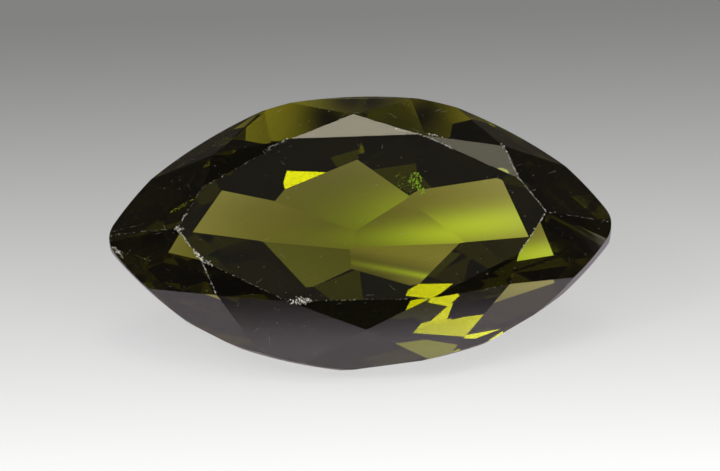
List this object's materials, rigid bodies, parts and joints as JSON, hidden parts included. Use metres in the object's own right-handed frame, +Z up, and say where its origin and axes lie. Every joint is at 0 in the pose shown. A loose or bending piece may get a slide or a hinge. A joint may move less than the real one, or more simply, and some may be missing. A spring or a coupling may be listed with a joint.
{
  "type": "faceted marquise gemstone",
  "caption": "Loose green diopside cut as a marquise, see-through with a flat table and facets all round, lying on one facet of its pavilion.",
  "frame": {"origin": "under the middle of the stone's box, on the surface it lies on", "axes": "+X along the stone from one point to the other, +Y to the back, +Z up"},
  "size_m": [0.016, 0.007, 0.0067],
  "materials": {
    "green_diopside": "polished, clear olive green, edges slightly worn"
  },
  "bodies": {
    "root": {"marquise_gem": "green_diopside"}
  },
  "joints": []
}
